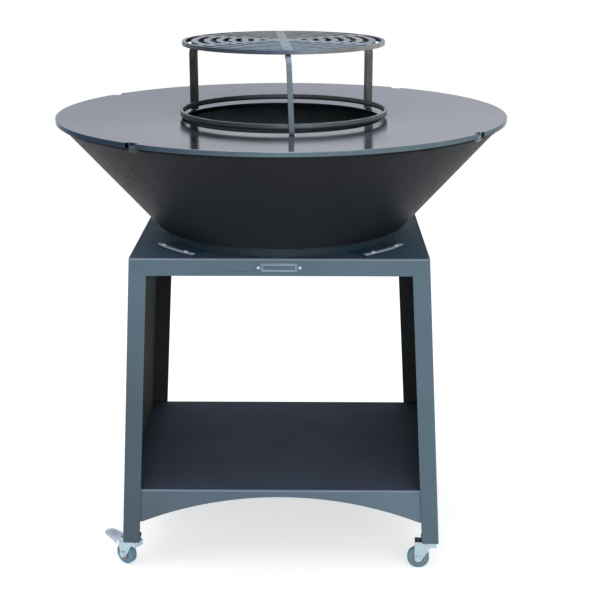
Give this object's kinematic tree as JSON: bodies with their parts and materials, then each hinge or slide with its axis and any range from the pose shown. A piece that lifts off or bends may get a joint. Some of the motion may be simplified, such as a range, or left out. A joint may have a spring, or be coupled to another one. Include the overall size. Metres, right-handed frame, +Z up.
{
  "type": "plancha brazier",
  "caption": "Free-standing round fire bowl under a steel plancha plate with a central hole and raised cooking grid, on a folded-sheet stand with a wood shelf and castors.",
  "frame": {"origin": "on the floor under the axis of the bowl", "axes": "+Z up; the name plate's side, the front, faces -Y; +X is to the right seen from the front"},
  "size_m": [1, 1, 1.1634],
  "materials": {
    "stand_paint": "satin powder coat",
    "bowl_paint": "satin powder coat",
    "plancha_steel": "polished",
    "raw_steel": "mill",
    "zinc": "bright zinc plate",
    "plate_tag": "satin",
    "pedal_steel": "zinc plate",
    "hub_plastic": "moulded",
    "bush": "moulded",
    "tyre": "moulded tread"
  },
  "bodies": {
    "stand": {"stand_top": "stand_paint", "side_panel_left": "stand_paint", "side_panel_right": "stand_paint", "shelf": "stand_paint", "castor_pads": "stand_paint", "castor_nuts": "zinc", "name_plate": "plate_tag", "name_plate_rivets": "zinc", "bowl_collar": "bowl_paint", "bowl_floor": "bowl_paint", "bowl_cone": "bowl_paint", "bowl_rim_ring": "bowl_paint", "bowl_foot_tabs": "stand_paint", "hold_down_strips": "zinc", "strip_screws": "zinc", "strip_nuts": "zinc", "fire_grate": "raw_steel", "plancha_lugs": "raw_steel", "castor_front_left_kingpin": "zinc", "castor_front_left_race": "zinc", "castor_front_right_kingpin": "zinc", "castor_front_right_race": "zinc", "castor_rear_left_kingpin": "zinc", "castor_rear_left_race": "zinc", "castor_rear_right_kingpin": "zinc", "castor_rear_right_race": "zinc"},
    "plancha": {"plancha_plate": "plancha_steel"},
    "riser": {"cooking_grid": "raw_steel", "riser_base_ring": "raw_steel", "riser_leg_front": "raw_steel", "riser_leg_right": "raw_steel", "riser_leg_left": "raw_steel"},
    "castor_front_left": {"castor_front_left_fork": "zinc", "castor_front_left_axle": "zinc", "castor_front_left_brake_pin": "zinc"},
    "wheel_front_left": {"castor_front_left_hub": "hub_plastic", "castor_front_left_bush": "bush", "castor_front_left_tyre": "tyre"},
    "brake_front_left": {"castor_front_left_brake_pedal": "pedal_steel"},
    "castor_front_right": {"castor_front_right_fork": "zinc", "castor_front_right_axle": "zinc"},
    "wheel_front_right": {"castor_front_right_hub": "hub_plastic", "castor_front_right_bush": "bush", "castor_front_right_tyre": "tyre"},
    "castor_rear_left": {"castor_rear_left_fork": "zinc", "castor_rear_left_axle": "zinc"},
    "wheel_rear_left": {"castor_rear_left_hub": "hub_plastic", "castor_rear_left_bush": "bush", "castor_rear_left_tyre": "tyre"},
    "castor_rear_right": {"castor_rear_right_fork": "zinc", "castor_rear_right_axle": "zinc", "castor_rear_right_brake_pin": "zinc"},
    "wheel_rear_right": {"castor_rear_right_hub": "hub_plastic", "castor_rear_right_bush": "bush", "castor_rear_right_tyre": "tyre"},
    "brake_rear_right": {"castor_rear_right_brake_pedal": "pedal_steel"}
  },
  "joints": [
    {"name": "plancha_lift", "type": "slide", "parent": "stand", "child": "plancha", "axis": [0, 0, 1], "range_m": [0, 0.3]},
    {"name": "riser_lift", "type": "slide", "parent": "plancha", "child": "riser", "axis": [0, 0, 1], "range_m": [0, 0.3]},
    {"name": "front_left_swivel", "type": "hinge", "parent": "stand", "child": "castor_front_left", "pos_m": [-0.33663, -0.2448, 0.065], "axis": [0, 0, 1], "continuous": true},
    {"name": "front_left_roll", "type": "hinge", "parent": "castor_front_left", "child": "wheel_front_left", "pos_m": [-0.35475, -0.23064, 0.025], "axis": [-0.6157, -0.788, 0], "continuous": true},
    {"name": "front_left_brake", "type": "hinge", "parent": "castor_front_left", "child": "brake_front_left", "pos_m": [-0.36177, -0.22516, 0.05605], "axis": [-0.6157, -0.788, 0], "range_deg": [0, 22]},
    {"name": "front_right_swivel", "type": "hinge", "parent": "stand", "child": "castor_front_right", "pos_m": [0.33663, -0.2448, 0.065], "axis": [0, 0, 1], "continuous": true},
    {"name": "front_right_roll", "type": "hinge", "parent": "castor_front_right", "child": "wheel_front_right", "pos_m": [0.31368, -0.2432, 0.025], "axis": [-0.0698, -0.9976, 0], "continuous": true},
    {"name": "rear_left_swivel", "type": "hinge", "parent": "stand", "child": "castor_rear_left", "pos_m": [-0.33663, 0.2448, 0.065], "axis": [0, 0, 1], "continuous": true},
    {"name": "rear_left_roll", "type": "hinge", "parent": "castor_rear_left", "child": "wheel_rear_left", "pos_m": [-0.31778, 0.25799, 0.025], "axis": [-0.5736, 0.8192, 0], "continuous": true},
    {"name": "rear_right_swivel", "type": "hinge", "parent": "stand", "child": "castor_rear_right", "pos_m": [0.33663, 0.2448, 0.065], "axis": [0, 0, 1], "continuous": true},
    {"name": "rear_right_roll", "type": "hinge", "parent": "castor_rear_right", "child": "wheel_rear_right", "pos_m": [0.34449, 0.26641, 0.025], "axis": [-0.9397, 0.342, 0], "continuous": true},
    {"name": "rear_right_brake", "type": "hinge", "parent": "castor_rear_right", "child": "brake_rear_right", "pos_m": [0.34754, 0.27478, 0.05605], "axis": [-0.9397, 0.342, 0], "range_deg": [0, 22]}
  ]
}
